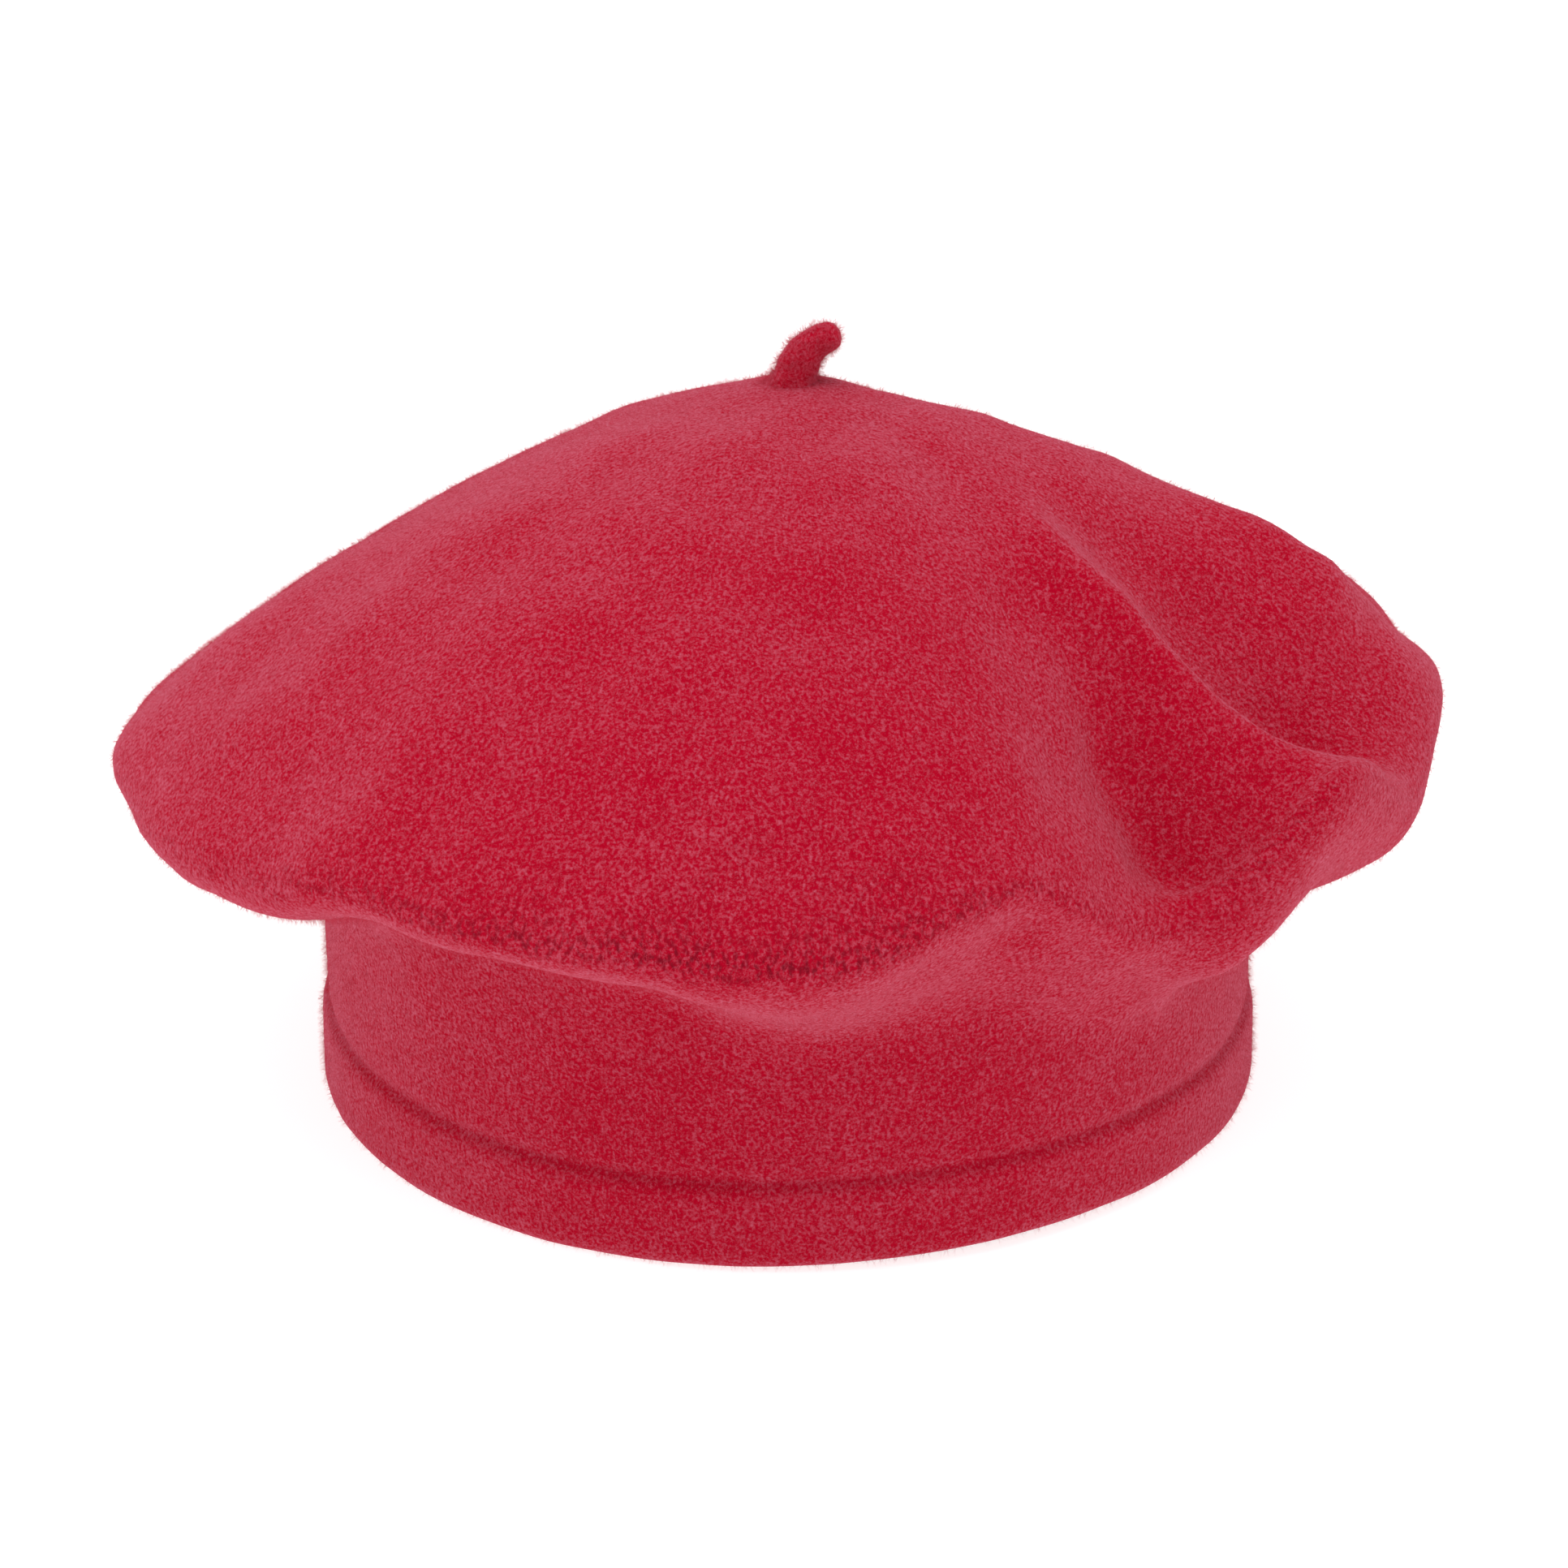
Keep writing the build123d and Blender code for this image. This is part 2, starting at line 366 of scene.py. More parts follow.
def set_bump(tree, shader, height, strength, distance):
    """Small relief on a shader, whose distance is in metres."""
    values = {"Height": height, "Strength": strength, "Distance": distance}
    bump = add(tree, "ShaderNodeBump", values).outputs[0]
    tree.links.new(bump, shader.inputs["Normal"])
    return bump


def colour(red, green, blue):
    """A colour with nothing see-through."""
    return (red, green, blue, 1.0)


CRIMSON = colour(0.50, 0.006, 0.034)
DEEP_RED = colour(0.42, 0.000, 0.016)
# PALE_RED is the felt's paler fibres, and also the painted sheen where the felt turns away
PALE_RED = colour(0.55, 0.100, 0.155)
# The dark red of the painted shade along the rim's turn and in the seam's groove
PAINTED_SHADE_RED = colour(0.18, 0.004, 0.014)
FIBRE_RED = colour(0.62, 0.080, 0.130)


def felt_material(name):
    """Fulled wool: mottled crimson with knit columns, paler where it turns away as a painted sheen,
    and painted shade.
    """
    made, tree, shader = material(name)
    place = add(tree, "ShaderNodeTexCoord").outputs["Object"]
    mottle = noise(tree, place, scale=1500.0, detail=3.0, roughness=0.65)
    patches = noise(tree, place, scale=38.0)
    fibres = noise(tree, scaled(tree, place, (1.0, 0.35, 1.0)), scale=2300.0, roughness=0.7)
    skin = add(tree, "ShaderNodeUVMap", uv_map="skin").outputs[0]
    columns = noise(tree, scaled(tree, skin, (760.0, 500.0, 1.0)), scale=1.0, detail=1.0)

    height = with_shares(tree, mottle, [(fibres, 0.5), (columns, 0.4)])
    bump = set_bump(tree, shader, height, strength=0.7, distance=0.0006)
    # Painted sheen: the felt's colour grows paler the more it turns away from the camera
    rough = add(tree, "ShaderNodeLayerWeight", {"Blend": 0.5, "Normal": bump}).outputs["Facing"]
    smooth = add(tree, "ShaderNodeLayerWeight", {"Blend": 0.5}).outputs["Facing"]
    away = calculate(tree, "MULTIPLY", calculate(tree, "ADD", rough, smooth), 0.5)
    painted_sheen = calculate(tree, "POWER", away, 1.8)

    parts = [(patches, 0.12), (fibres, 0.3), (painted_sheen, 0.32), (columns, 0.25)]
    paleness = ramp(tree, with_shares(tree, mottle, parts), 0.80, 1.17)
    base = between(tree, paleness, DEEP_RED, PALE_RED)

    # Painted shade: darker specks between the knit columns along the rim's turn, and a soft dark
    # line in the seam's groove
    stitch_gaps = ramp(tree, columns, 0.60, 0.30, "SMOOTHSTEP")
    crease = calculate(tree, "MULTIPLY", shade(tree, "crease"), 0.9)
    seam = calculate(tree, "MULTIPLY", shade(tree, "seam"), 0.12)
    wear_and_shade = calculate(tree, "MAXIMUM", calculate(tree, "MULTIPLY", stitch_gaps, crease), seam)
    tree.links.new(between(tree, wear_and_shade, base, PAINTED_SHADE_RED), shader.inputs["Base Color"])

    shader.inputs["Roughness"].default_value = 0.95
    shader.inputs["Specular IOR Level"].default_value = 0.05
    shader.inputs["Sheen Weight"].default_value = 0.06
    shader.inputs["Sheen Roughness"].default_value = 0.4
    shader.inputs["Sheen Tint"].default_value = colour(1.0, 0.45, 0.55)
    return made


def fibre_material(name):
    """Single wool fibres, paler than the felt."""
    made, tree, shader = material(name)
    place = add(tree, "ShaderNodeTexCoord").outputs["Object"]
    share = noise(tree, place, scale=900.0)
    tree.links.new(between(tree, share, CRIMSON, FIBRE_RED), shader.inputs["Base Color"])
    shader.inputs["Roughness"].default_value = 0.8
    shader.inputs["Specular IOR Level"].default_value = 0.2
    return made


def thread_material(name):
    """Twisted sewing thread."""
    made, tree, shader = material(name)
    place = add(tree, "ShaderNodeTexCoord").outputs["Object"]
    values = {"Vector": place, "Scale": 420.0}
    twist = add(tree, "ShaderNodeTexWave", values, bands_direction="DIAGONAL").outputs["Fac"]
    dark, light = colour(0.20, 0.008, 0.020), colour(0.36, 0.016, 0.040)
    tree.links.new(between(tree, twist, dark, light), shader.inputs["Base Color"])
    set_bump(tree, shader, twist, strength=0.5, distance=0.0001)
    shader.inputs["Roughness"].default_value = 0.7
    shader.inputs["Sheen Weight"].default_value = 0.2
    return made


def ribbon_material(name):
    """Grosgrain: fine threads along the ribs, with uneven wear."""
    made, tree, shader = material(name)
    weave = add(tree, "ShaderNodeUVMap", uv_map="weave").outputs[0]
    values = {"Vector": weave, "Scale": 26.0, "Distortion": 0.4}
    threads = add(tree, "ShaderNodeTexWave", values, bands_direction="Y").outputs["Fac"]
    place = add(tree, "ShaderNodeTexCoord").outputs["Object"]
    wear_and_shade = noise(tree, place, scale=160.0, detail=3.0)
    share = calculate(tree, "MULTIPLY", calculate(tree, "ADD", threads, wear_and_shade), 0.5)
    dark, light = colour(0.10, 0.006, 0.012), colour(0.22, 0.013, 0.028)
    tree.links.new(between(tree, share, dark, light), shader.inputs["Base Color"])
    set_bump(tree, shader, share, strength=0.4, distance=0.0001)
    shader.inputs["Roughness"].default_value = 0.55
    shader.inputs["Sheen Weight"].default_value = 0.3
    return made


def woven_material(name, warp, weft, border, scale, roughness):
    """A woven label or tape: warp and weft threads, with a plain woven border."""
    made, tree, shader = material(name)
    weave = add(tree, "ShaderNodeUVMap", uv_map="weave").outputs[0]
    values = {"Vector": weave, "Scale": scale}
    across = add(tree, "ShaderNodeTexWave", values).outputs["Fac"]
    values = {"Vector": weave, "Scale": scale * 0.6}
    down = add(tree, "ShaderNodeTexWave", values, bands_direction="Y").outputs["Fac"]
    share = calculate(tree, "MULTIPLY", across, down)
    base = between(tree, share, weft, warp)
    base = between(tree, shade(tree, "border"), base, border)
    tree.links.new(base, shader.inputs["Base Color"])
    set_bump(tree, shader, share, strength=0.5, distance=0.0001)
    shader.inputs["Roughness"].default_value = roughness
    shader.inputs["Sheen Weight"].default_value = 0.2
    return made


# --- The felt skin ---
def felt_profile(degrees):
    """The felt from the eye down to the foot of the collar's wall: radius and height."""
    one = np.ones(len(degrees))
    radius, height, roll, sag = (around(RIM, column, degrees) for column in (1, 2, 3, 4))
    face = around(FACE, 1, degrees)
    under = height - 1.2 * roll - sag - 0.7 * face
    ground = TOP - EYE_FALL - EYE_SLOPE * np.sin(np.radians(degrees))
    rows = [(0 * one, TOP * one), (EYE_GROUND * one, ground)]
    for column, (share, local) in enumerate(zip(TOP_SHARES, TOP_LOCALITY), 1):
        fall = around(TOP_FALL, column, degrees)
        edge = broad(radius, degrees) * (1 - local) + radius * local
        foot = broad(height, degrees) * (1 - local) + height * local
        if share == TOP_SHARES[-1]:
            share = share + FACE_PUSH * face
        rows.append((share * edge, TOP - fall * (TOP - foot)))
    rows += [
        (radius - 0.15 * roll, height + 1.15 * roll + 0.25 * face),  # where the rim starts
        (radius + 0.35 * roll, height),  # its widest line
        (radius - 0.35 * roll - 0.2 * face, height - 1.15 * roll - face),  # below its roll
        ((radius - roll + COLLAR_RADIUS + UNDERSIDE_END) / 2, under),
    ]
    rows += [((COLLAR_RADIUS + out) * one, under - down) for out, down in NECK]
    wall_top = under - NECK[-1][1]
    rows += [
        (COLLAR_RADIUS * one, (wall_top + COLLAR_LOW) / 2 + 2),
        (COLLAR_RADIUS * one, COLLAR_LOW * one),
    ]
    outline = spline([np.stack(row, axis=1) for row in rows], 60)
    lines = [spaced(outline[:, column], OUTER_ROWS) for column in range(len(degrees))]
    return np.stack(lines, axis=1)


def fold_heights(x, y):
    """How much the folds raise the felt at points seen from above."""
    total = np.zeros_like(x)
    for path, height, left, right, rise, fade in FOLDS:
        path = smooth_line(path, 40)
        ahead = np.gradient(path, axis=0)
        nearest = np.full(x.shape, 1e9)
        share = np.zeros_like(x)
        side = np.zeros_like(x)
        for step, (point, way) in enumerate(zip(path, ahead)):
            away_x, away_y = x - point[0], y - point[1]
            distance = np.hypot(away_x, away_y)
            closer = distance < nearest
            nearest = np.where(closer, distance, nearest)
            along = (step + (away_x * way[0] + away_y * way[1]) / (way @ way)) / (len(path) - 1)
            share = np.where(closer, along, share)
            across = (way[0] * away_y - way[1] * away_x) / np.hypot(*way)
            side = np.where(closer, across, side)
        past = np.maximum(nearest**2 - side**2, 0)
        half = left + (right - left) * ease(0.5 - side / FOLD_CHANGE)
        strength = ease(share / rise)
        if fade:
            strength = strength * ease((1 - share) / fade)
        total += height * strength * np.exp(-0.5 * (side / half) ** 2 - past / (2 * half**2))
    return total


def felt_outside(degrees):
    """The felt's outer face as rows of points from the eye down to the edge it stands on."""
    profile = felt_profile(degrees)
    hem = spaced(np.array(HEM_OUTLINE) + (COLLAR_RADIUS, 0), HEM_ROWS)
    profile = np.concatenate([profile, np.repeat(hem[:, None], len(degrees), axis=1)])
    reach, z = profile[..., 0], profile[..., 1]
    around_eye = 1 - ease(reach / EYE_PULL)
    x = reach * np.cos(np.radians(degrees)) + EYE[0] * around_eye
    y = reach * np.sin(np.radians(degrees)) + EYE[1] * around_eye
    z = z + fold_heights(x, y) * ease((z - FOLDS_LOW) / (FOLDS_FULL - FOLDS_LOW))
    z = z + EYE_FLARE * np.exp(-((reach / EYE_FLARE_REACH) ** 2))
    lift = HEM_LIFT * bell(turned(degrees, LIFT_HEADING), LIFT_SPREAD)
    z = z + lift * (1 - ease(z / LIFT_FADE))
    return np.stack([x, y, z], axis=-1)


def uneven(grid):
    """Small smooth bumps at each point, from sums of waves."""
    total = np.zeros(grid.shape[:2])
    for length, height, heading in UNEVEN:
        a, b = cos(radians(heading)), sin(radians(heading))
        one = np.sin(2 * pi * (grid[..., 0] * a + grid[..., 1] * b) / length + heading)
        other = np.sin(2 * pi * (grid[..., 1] * a - grid[..., 0] * b + grid[..., 2]) / length)
        total += height * one * other
    return total


def skin_rows():
    """The closed skin's rows of points: the outside, the turned-up hem, and the inside."""
    outside = felt_outside(HEADINGS)
    crown = ease((outside[..., 2] - CROWN_STARTS) / 50)
    strength = COLLAR_UNEVEN + (1 - COLLAR_UNEVEN) * crown
    outside = outside + outward(outside) * uneven(outside)[..., None] * strength[..., None]
    outside[-1, :, 2] = np.maximum(outside[-1, :, 2], 0)
    ways = np.stack([np.cos(np.radians(HEADINGS)), np.sin(np.radians(HEADINGS))], axis=1)
    foot = outside[-1, :, 2]
    hem = []
    for out, up in HEM_INSIDE:
        rise = up + foot * (1 - ease(up / LIFT_FADE))
        hem.append(np.concatenate([ways * (RIBBON_OUTSIDE + out), rise[:, None]], axis=1))
    inner = (outside - outward(outside) * FELT_THICKNESS)[: OUTER_ROWS - 2 : INNER_STEP][::-1]
    return outside, np.array(hem), inner


def unroll_skin(shell, rows):
    """UVs of the skin: turns round the beret, and metres down from the eye."""
    steps_down = np.linalg.norm(np.diff(rows, axis=0), axis=2)
    along = np.concatenate([np.zeros((1, COLUMNS)), np.cumsum(steps_down, axis=0)]) * MM
    turn = np.tile(np.arange(COLUMNS) / COLUMNS, (len(rows), 1))
    corner = corner_points(shell)
    u = np.concatenate([turn.ravel(), [0, 0]])[corner]
    v = np.concatenate([along.ravel(), [0, along.max()]])[corner]
    polygons = shell.data.polygons
    face = np.repeat(np.arange(len(polygons)), [polygon.loop_total for polygon in polygons])
    widest = np.zeros(len(polygons))
    np.maximum.at(widest, face, u)
    u = np.where(widest[face] - u > 0.5, u + 1, u)
    add_uv(shell, "skin", u, v)


def felt_shell():
    """The whole felt as one closed skin, and the rows of its outside."""
    outside, hem, inner = skin_rows()
    rows = np.concatenate([outside[1:], hem, inner[:-1]])
    count = len(rows)
    points = np.concatenate([rows.reshape(-1, 3), outside[0, :1], inner[-1, :1]])
    faces = grid_faces(count, COLUMNS)
    top, under = count * COLUMNS, count * COLUMNS + 1
    last = (count - 1) * COLUMNS
    for column in range(COLUMNS):
        beside = (column + 1) % COLUMNS
        faces.append((top, column, beside))
        faces.append((last + column, under, last + beside))
    shell = mesh_object("felt_shell", points, faces)
    face_outwards(shell)
    unroll_skin(shell, rows)
    return shell, outside


# Painted shade along the rim's turn, where the rim was folded flat: how steeply the felt faces up
# there, the heading where it shows most, the spread of each in degrees, and how much shows elsewhere
CREASE_FACING = 8
CREASE_FACING_SPREAD = 15
CREASE_HEADING = 262
CREASE_HEADING_SPREAD = 26
CREASE_ELSEWHERE = 0.15
CREASE_RADIUS = 105  # no painted shade nearer the middle than this
SEAM_WIDTH = 0.9


def paint_rim_and_seam_shade(shell, outside):
    """Values for the painted shade along the rim's roll and in the seam's groove above the hem."""
    radius = np.linalg.norm(outside[..., :2], axis=2)
    height = outside[..., 2]
    facing = np.degrees(np.arcsin(np.clip(outward(outside)[..., 2], -1, 1)))
    crease = bell(facing - CREASE_FACING, CREASE_FACING_SPREAD)
    on_crown = height > 60
    crease = crease * ease((radius - CREASE_RADIUS) / 10) * on_crown
    front = bell(turned(HEADINGS, CREASE_HEADING), CREASE_HEADING_SPREAD)
    crease = crease * (CREASE_ELSEWHERE + (1 - CREASE_ELSEWHERE) * front)
    lifted = SEAM_HEIGHT + 0.6 * height[-1]
    on_collar = radius < 100
    seam = bell(height - lifted, SEAM_WIDTH) * on_collar
    for name, mark in (("crease", crease), ("seam", seam)):
        values = np.zeros(len(shell.data.vertices))
        values[: (len(outside) - 1) * COLUMNS] = mark[1:].ravel()
        add_shade(shell, name, values)


shell, outside = felt_shell()
paint_rim_and_seam_shade(shell, outside)
felt = felt_material("wool_felt")
fibre = fibre_material("wool_fibre")
shell.data.materials.append(felt)
shell.data.materials.append(fibre)
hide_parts("crown_felt", "collar_felt")
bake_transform(shell)


# --- The stalk ---
# Its spine from the root to the tip: how far right of the eye, and how far above it
STALK_SPINE = [
    (-1.3, -4.6), (-1.2, -3.2), (-0.9, -0.8), (0.1, 2.2), (1.9, 5.0), (4.0, 6.6), (5.8, 7.2),
]
# Its radius at shares of its length
STALK_RADII = [
    (0, 7.2), (0.1, 5.8), (0.2, 4.7), (0.32, 4.2), (0.6, 3.8), (0.85, 3.3), (1, 3.0),
]
STALK_SIDES = 40
STALK_ROWS = 44
TIP_ROWS = 9
TIP_LENGTH = 0.85  # the rounded tip's length as a share of its radius


def felt_stalk():
    """A slightly lumpy felt finger along its spine, flared at the foot and round at the tip."""
    spine = smooth_line(STALK_SPINE, STALK_ROWS)
    ahead = np.gradient(spine, axis=0)
    ahead /= np.linalg.norm(ahead, axis=1, keepdims=True)
    share = np.linspace(0, 1, STALK_ROWS)
    radius = np.interp(share, *zip(*STALK_RADII))
    turn = np.linspace(0, pi / 2, TIP_ROWS + 1)[1:]
    tip = STALK_RADII[-1][1]
    spine = np.concatenate([spine, spine[-1] + ahead[-1] * tip * TIP_LENGTH * np.sin(turn)[:, None]])
    ahead = np.concatenate([ahead, np.repeat(ahead[-1:], TIP_ROWS, axis=0)])
    radius = np.concatenate([radius, tip * np.cos(turn)])
    side = np.arange(STALK_SIDES) * 2 * pi / STALK_SIDES
    rows = []
    for (x, z), (ahead_x, ahead_z), size in zip(spine[:-1], ahead[:-1], radius[:-1]):
        lump = 1 + 0.03 * np.sin(2 * side + z) + 0.02 * np.sin(3 * side - 1.7 * z)
        across, deep = size * lump * np.cos(side), size * lump * np.sin(side)
        rows.append(np.stack([x + across * ahead_z, deep, z - across * ahead_x], axis=1))
    ends = [(spine[-1, 0], 0, spine[-1, 1]), (spine[0, 0], 0, spine[0, 1])]
    points = np.concatenate([*rows, ends])
    faces = grid_faces(len(rows), STALK_SIDES)
    last = (len(rows) - 1) * STALK_SIDES
    tip_point = len(rows) * STALK_SIDES
    for column in range(STALK_SIDES):
        beside = (column + 1) % STALK_SIDES
        faces.append((last + column, tip_point, last + beside))
        faces.append((column, beside, tip_point + 1))
    stalk = mesh_object("stalk_felt", points + EYE, faces)
    face_outwards(stalk)
    flat = np.zeros(len(stalk.data.loops))
    add_uv(stalk, "skin", flat, flat)
    stalk.data.materials.append(felt)
    stalk.data.materials.append(fibre)
    return stalk


stalk = felt_stalk()
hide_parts("stalk")
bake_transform(stalk)


# --- Nap ---
NAP_COUNT = 240000
NAP_THICKNESS = 0.00004  # metres, as are the lengths
SHELL_NAP_LENGTH = 0.0012
STALK_NAP_LENGTH = 0.0017
STALK_NAP_SHARE = 40  # the stalk has one hair for each forty of the shell
INSIDE_NAP = 0.2  # how thick the nap is inside, against outside
HAIR_FRAMES = 4  # a hair grows for four frames


def nap(piece, count, length, seed, group=None):
    """A short fur of wool fibres over a piece, which only the render shows."""
    modifier = piece.modifiers.new("nap", "PARTICLE_SYSTEM")
    system = modifier.particle_system
    system.seed = seed
    hair = system.settings
    hair.type = "HAIR"
    hair.count = count
    hair.use_advanced_hair = True
    hair.hair_step = 3
    hair.render_step = 3
    hair.display_step = 2
    hair.emit_from = "FACE"
    hair.use_emit_random = True
    hair.distribution = "RAND"
    speed = length / HAIR_FRAMES
    hair.normal_factor = 0.45 * speed
    hair.tangent_factor = 0.25 * speed
    hair.factor_random = 0.9 * speed
    hair.use_hair_bspline = False
    hair.root_radius = 1.0
    hair.tip_radius = 0.3
    hair.radius_scale = NAP_THICKNESS
    hair.material_slot = fibre.name
    if group:
        system.vertex_group_density = group


def nap_group(shell):
    """A vertex group that says how thick the nap is: full outside, thin inside."""
    outer_count = (len(outside) - 1) * COLUMNS
    inner_first = outer_count + 2 * COLUMNS
    weights = np.zeros(len(shell.data.vertices))
    weights[:outer_count] = 1.0
    weights[inner_first:-2] = INSIDE_NAP
    weights[-2] = 1.0
    group = shell.vertex_groups.new(name="nap")
    for level in np.unique(weights):
        if level > 0:
            group.add(np.flatnonzero(weights == level).tolist(), float(level), "REPLACE")
    return group.name


nap(shell, NAP_COUNT, SHELL_NAP_LENGTH, 11, nap_group(shell))
nap(stalk, NAP_COUNT // STALK_NAP_SHARE, STALK_NAP_LENGTH, 12)


# --- Ribbon ---
RIBS = 560
RIB_STEPS = 4
RIB_HEIGHT = 0.07
RIBBON_ROWS = 11
RIBBON_GAP = 0.4  # between its butted ends
SCALLOP = 0.06  # how far each rib pushes the ribbon's edge out
EDGE_THICKNESS = 0.55  # the edge's thickness as a share of the middle's


def ribbon_band():
    """A grosgrain sweatband: ribs across its width, scalloped edges and a join at the back."""
    columns = RIBS * RIB_STEPS
    gap = RIBBON_GAP / RIBBON_OUTSIDE
    turn = np.linspace(pi / 2 + gap / 2, 5 * pi / 2 - gap / 2, columns)
    wave = np.cos(np.arange(columns) * 2 * pi / RIB_STEPS)
    low, high = ribbon_low[2], ribbon_high[2]
    middle = RIBBON_OUTSIDE - RIBBON_THICKNESS / 2
    rows = []
    for face in (1, -1):
        for share in np.linspace(0, 1, RIBBON_ROWS)[::face]:
            at_edge = share in (0, 1)
            thick = (RIBBON_THICKNESS / 2 - RIB_HEIGHT) * (EDGE_THICKNESS if at_edge else 1)
            radius = middle - face * (thick + RIB_HEIGHT * wave)
            scallop = SCALLOP * wave * at_edge * np.sign(share - 0.5)
            z = low + (high - low) * share + scallop
            rows.append(np.stack([radius * np.cos(turn), radius * np.sin(turn), z], axis=1))
    faces = []
    count = len(rows)
    for row in range(count):
        a, b = row * columns, (row + 1) % count * columns
        for column in range(columns - 1):
            faces.append((a + column, b + column, b + column + 1, a + column + 1))
    for end in (0, columns - 1):
        for row in range(RIBBON_ROWS - 1):
            mirror = count - 1 - row
            loop = (row, row + 1, mirror - 1, mirror)
            faces.append(tuple(step * columns + end for step in loop))
    points = np.concatenate(rows)
    ribbon = mesh_object("ribbon", points, faces)
    face_outwards(ribbon)
    corner = corner_points(ribbon)
    add_uv(ribbon, "weave", corner % columns / columns, points[corner, 2] / (high - low))
    ribbon.data.materials.append(ribbon_material("grosgrain"))
    return ribbon


ribbon = ribbon_band()
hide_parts("sweatband_ribbon")
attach(ribbon, "collar")


# --- Threads ---
THREAD_RADIUS = 0.25
thread = thread_material("red_thread")


def tube_mesh(name, lines, radius, sides=8):
    """Round threads along lines of points, as one mesh with capped ends."""
    points, faces = [], []
    side = np.arange(sides) * 2 * pi / sides
    for line in lines:
        line = np.asarray(line, float)
        ahead = np.gradient(line, axis=0)
        ahead /= np.linalg.norm(ahead, axis=1, keepdims=True)
        aside = np.cross(ahead, (0.3, 0.5, 0.81))
        aside /= np.linalg.norm(aside, axis=1, keepdims=True)
        above = np.cross(ahead, aside)
        taper = np.ones(len(line))
        taper[[0, -1]] = 0.5
        first = len(points)
        for centre, a, b, size in zip(line, aside, above, taper):
            ring = np.outer(np.cos(side), a) + np.outer(np.sin(side), b)
            points.extend(centre + radius * size * ring)
        faces += grid_faces(len(line), sides, first=first)
        faces.append(tuple(range(first + sides - 1, first - 1, -1)))
        faces.append(tuple(range(len(points) - sides, len(points))))
    made = mesh_object(name, points, faces)
    face_outwards(made)
    return made


# --- Labels ---
LABEL_SIZES = {"maker_label": (40.0, 16.0), "care_label": (28.0, 16.5)}
LABEL_THICKNESS = 0.45
LABEL_COLUMNS = 60
LABEL_ROWS = 30
LABEL_BELLY = 0.7  # how far its middle stands off the felt
LABEL_CURL = 0.25  # how much closer its sides lie
BORDER_INSET = 1.6
FOLDED_END = 3.5
STITCH_PITCH = 3.2
STITCH_LENGTH = 2.1
STITCH_MARGIN = 1.3
STITCH_POINTS = 7


def label_frame(name):
    """The middle of a label's top edge, and the ways across it and inwards."""
    hinge = JOINTS[name + "_flap"]
    top = np.array(hinge["pos_m"]) / MM
    inwards = -top * (1, 1, 0) / np.linalg.norm(top[:2])
    across = np.cross((0, 0, 1), inwards)
    return top, across, inwards


def label_place(name, share, down, inwards_by):
    """Points on a label, from shares across it and distances down and inwards."""
    width, drop = LABEL_SIZES[name]
    top, across, inwards = label_frame(name)
    belly = LABEL_BELLY * np.sin(pi * np.clip(down / drop, 0, 1))
    belly = (belly - LABEL_CURL * (2 * share - 1) ** 2) * ease(down / drop * 3)
    offset = np.multiply.outer((share - 0.5) * width, across)
    offset = offset + np.multiply.outer(-down, (0, 0, 1))
    return top + offset + np.multiply.outer(belly + inwards_by, inwards)


def woven_label(name, finish):
    """A soft woven sheet, thicker where its ends are folded under."""
    width, drop = LABEL_SIZES[name]
    across, along = np.linspace(0, 1, LABEL_COLUMNS), np.linspace(0, drop, LABEL_ROWS)
    share, down = np.meshgrid(across, along)
    from_side = np.minimum(share, 1 - share) * width
    from_edge = np.minimum(from_side, np.minimum(down, drop - down))
    fold = 1.0 + 0.35 * (from_side < FOLDED_END)
    thick = LABEL_THICKNESS * (0.35 + 0.65 * ease(from_edge / 0.5)) * fold
    middle = LABEL_THICKNESS * 0.75
    inner = label_place(name, share, down, middle + thick / 2)
    outer = label_place(name, share, down, middle - thick / 2)
    points = np.concatenate([inner.reshape(-1, 3), outer.reshape(-1, 3)])
    size = LABEL_COLUMNS * LABEL_ROWS
    front = grid_faces(LABEL_ROWS, LABEL_COLUMNS, closed=False)
    back = grid_faces(LABEL_ROWS, LABEL_COLUMNS, closed=False, first=size)
    faces = front + [face[::-1] for face in back]
    loop = list(range(LABEL_COLUMNS))
    loop += [row * LABEL_COLUMNS + LABEL_COLUMNS - 1 for row in range(1, LABEL_ROWS)]
    loop += [size - LABEL_COLUMNS + column for column in range(LABEL_COLUMNS - 2, -1, -1)]
    loop += [row * LABEL_COLUMNS for row in range(LABEL_ROWS - 2, 0, -1)]
    for here, beside in zip(loop, loop[1:] + loop[:1]):
        faces.append((here, beside, beside + size, here + size))
    label = mesh_object(name + "_woven", points, faces)
    face_outwards(label)
    corner = corner_points(label) % size
    add_uv(label, "weave", share.ravel()[corner] * width / 10, down.ravel()[corner] / 10)
    border = (np.abs(from_edge - BORDER_INSET) < 0.35).astype(float)
    add_shade(label, "border", np.tile(border.ravel(), 2))
    label.data.materials.append(finish)
    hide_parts(name)
    return label


def label_stitches(name):
    """A running stitch along a label's top edge, dipping into the cloth between stitches."""
    width = LABEL_SIZES[name][0]
    count = round(width / STITCH_PITCH) - 1
    along = np.linspace(-STITCH_LENGTH / 2, STITCH_LENGTH / 2, STITCH_POINTS)
    proud = LABEL_THICKNESS + 0.26 - 0.35 * (2 * along / STITCH_LENGTH) ** 4
    down = np.full(STITCH_POINTS, STITCH_MARGIN)
    lines = []
    for stitch in range(count):
        middle = (stitch - (count - 1) / 2) * STITCH_PITCH
        lines.append(label_place(name, (middle + along) / width + 0.5, down, proud))
    made = tube_mesh(name + "_thread", lines, THREAD_RADIUS)
    made.data.materials.append(thread)
    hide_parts(name + "_stitches")
    return made


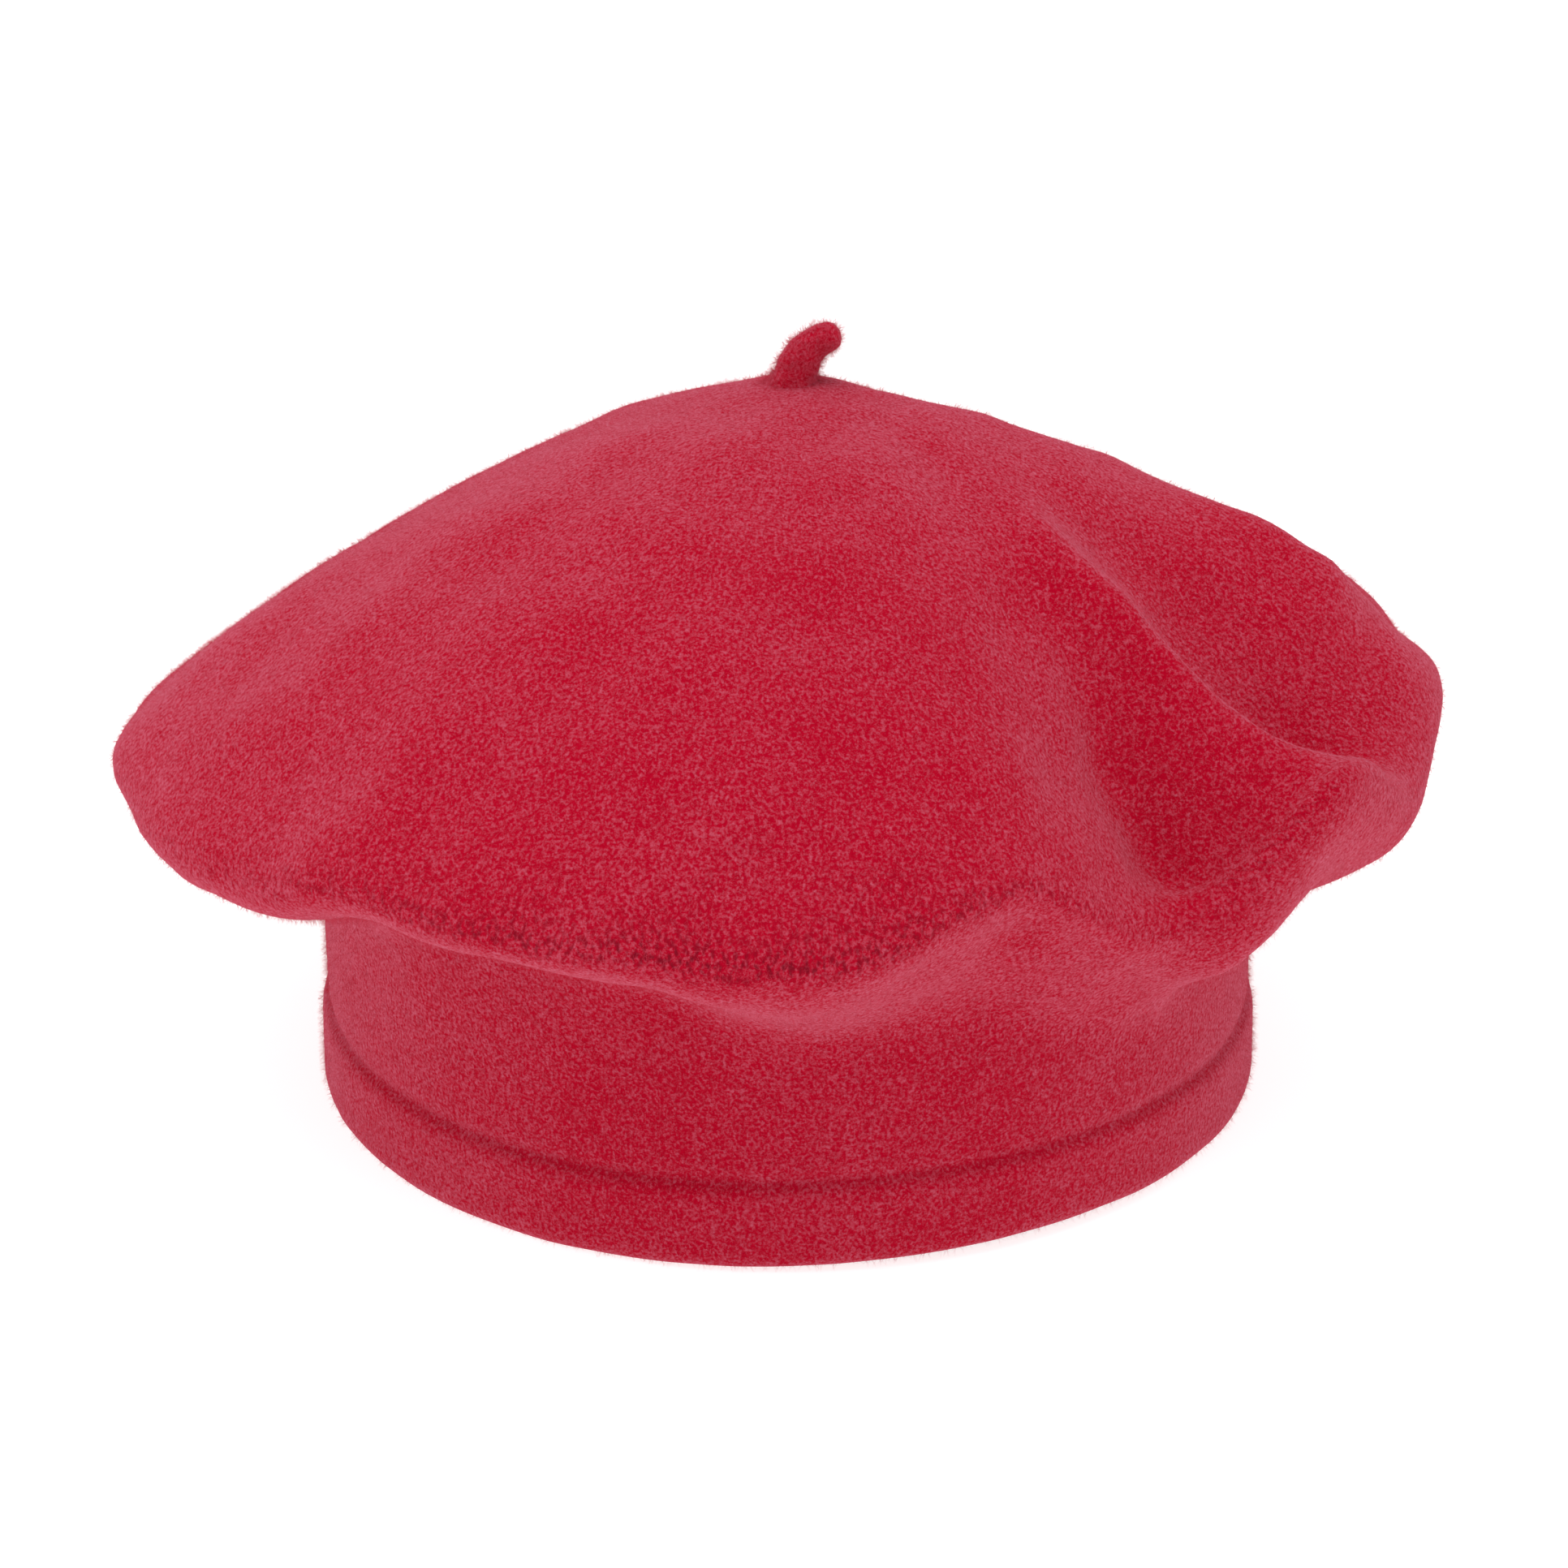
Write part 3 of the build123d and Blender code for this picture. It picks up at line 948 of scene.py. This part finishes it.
satin = woven_material(
    "label_satin",
    warp=colour(0.78, 0.74, 0.65),
    weft=colour(0.60, 0.56, 0.47),
    border=colour(0.35, 0.02, 0.04),
    scale=18.0,
    roughness=0.4,
)
tape = woven_material(
    "care_tape",
    warp=colour(0.84, 0.84, 0.82),
    weft=colour(0.70, 0.70, 0.69),
    border=colour(0.62, 0.62, 0.62),
    scale=12.0,
    roughness=0.7,
)
LABEL_FINISHES = {"maker_label": ("label_satin", satin), "care_label": ("care_tape", tape)}
for name, (slot, finish) in LABEL_FINISHES.items():
    woven = woven_label(name, finish)
    for piece in (woven, label_stitches(name)):
        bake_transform(piece)


# --- Stray fibres ---
# Heading, row of the outside, length, curl
STRAYS = [
    (296, 163, 7.0, 1.4), (253, 134, 4.5, 0.6), (281, 30, 3.5, 0.5), (240, 60, 4.0, 0.8),
    (218, 88, 3.2, 0.6), (262, 97, 3.8, 0.9), (305, 84, 3.0, 0.7), (331, 70, 3.6, 0.5),
    (275, 148, 3.4, 0.9), (200, 96, 3.0, 0.8), (340, 100, 3.2, 1.0), (120, 60, 4.2, 0.9),
    (60, 80, 3.4, 0.7), (160, 100, 3.8, 1.1), (20, 50, 3.0, 0.6), (90, 155, 3.6, 0.9),
]
STRAY_RADIUS = 0.035
STRAY_POINTS = 24


def stray_fibres():
    """A few long curly fibres lying on the felt."""
    chance = np.random.default_rng(7)
    normal = outward(outside)
    lines = []
    for degrees, row, length, curl in STRAYS:
        column = round(degrees / 360 * COLUMNS) % COLUMNS
        place, up = outside[row, column], normal[row, column]
        across = np.cross(up, chance.normal(size=3))
        across /= np.linalg.norm(across)
        other = np.cross(up, across)
        t = np.linspace(0, 1, STRAY_POINTS)
        wander = curl * np.sin(2.2 * pi * t + chance.uniform(0, 6))
        lift = 0.25 + 0.9 * np.sin(pi * t) * curl * 0.5
        line = place + np.outer((t - 0.5) * length, across)
        lines.append(line + np.outer(wander, other) + np.outer(lift, up))
    made = tube_mesh("stray_fibres", lines, STRAY_RADIUS, 6)
    made.data.materials.append(fibre)
    return made


strays = stray_fibres()
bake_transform(strays)


# --- CAD nodes that stay ---
FINISHES = {
    "stalk_root": felt,
    "hem_stitches": thread,
    "ribbon_stitches": thread,
    "ribbon_tack": thread,
    "root_stitches": thread,
}
for node, finish in FINISHES.items():
    slots = frame["nodes"][node].data.materials
    slots.clear()
    slots.append(finish)


# --- Floor, light and camera ---
FLOOR_REACH = 6000.0  # millimetres
FLOOR_GLOW = 0.8
WORLD_LIGHT = 0.72
BERET_MIDDLE = Vector((0, 0, 0.08))
# Place in metres, size and power in watts
LAMPS = {
    "overhead": ((-0.1, -0.3, 1.6), 1.2, 12.0),
    "left": ((-1.6, -0.2, 0.35), 1.2, 4.0),
    "right": ((1.6, -0.2, 0.35), 1.2, 2.5),
    "front": ((-0.5, -1.6, 0.6), 1.0, 1.0),
}
LENS = 167.6
SENSOR_WIDTH = 36.0
CAMERA_DISTANCE = 1.5
CAMERA_RISE = 24.0  # degrees
LOOKED_AT = Vector((-0.0007, 0, 0.063))


def pale_floor():
    """A wide pale floor that glows a little, so that it stays plain."""
    made, _, shader = material("pale_floor")
    shader.inputs["Base Color"].default_value = colour(0.5, 0.5, 0.5)
    shader.inputs["Emission Color"].default_value = colour(1.0, 1.0, 1.0)
    shader.inputs["Emission Strength"].default_value = FLOOR_GLOW
    shader.inputs["Roughness"].default_value = 0.9
    shader.inputs["Specular IOR Level"].default_value = 0.1
    signs = ((-1, -1), (1, -1), (1, 1), (-1, 1))
    corners = [(x * FLOOR_REACH, y * FLOOR_REACH, 0) for x, y in signs]
    floor = mesh_object("floor", corners, [(0, 1, 2, 3)])
    floor.data.materials.append(made)


def soft_world():
    """Even white light from all round."""
    world = bpy.data.worlds.new("studio")
    world.use_nodes = True
    background = world.node_tree.nodes["Background"]
    background.inputs["Color"].default_value = colour(1.0, 1.0, 1.0)
    background.inputs["Strength"].default_value = WORLD_LIGHT
    bpy.context.scene.world = world


def soft_lamp(name, place, size, power):
    """A large square lamp that looks at the middle of the beret."""
    lamp = bpy.data.lights.new(name, "AREA")
    lamp.size = size
    lamp.energy = power
    made = bpy.data.objects.new(name, lamp)
    bpy.context.scene.collection.objects.link(made)
    made.location = place
    made.rotation_euler = (BERET_MIDDLE - Vector(place)).to_track_quat("-Z", "Y").to_euler()


def front_camera():
    """The camera in front, looking down at the beret."""
    camera = bpy.data.objects.new("camera", bpy.data.cameras.new("camera"))
    bpy.context.scene.collection.objects.link(camera)
    back = Vector((0, -cos(radians(CAMERA_RISE)), sin(radians(CAMERA_RISE))))
    camera.location = LOOKED_AT + back * CAMERA_DISTANCE
    camera.rotation_euler = (-back).to_track_quat("-Z", "Y").to_euler()
    camera.data.lens = LENS
    camera.data.sensor_width = SENSOR_WIDTH
    camera.data.clip_end = 100.0
    bpy.context.scene.camera = camera


pale_floor()
soft_world()
for name, (place, size, power) in LAMPS.items():
    soft_lamp(name, place, size, power)
front_camera()
bpy.context.scene.view_settings.view_transform = "Standard"
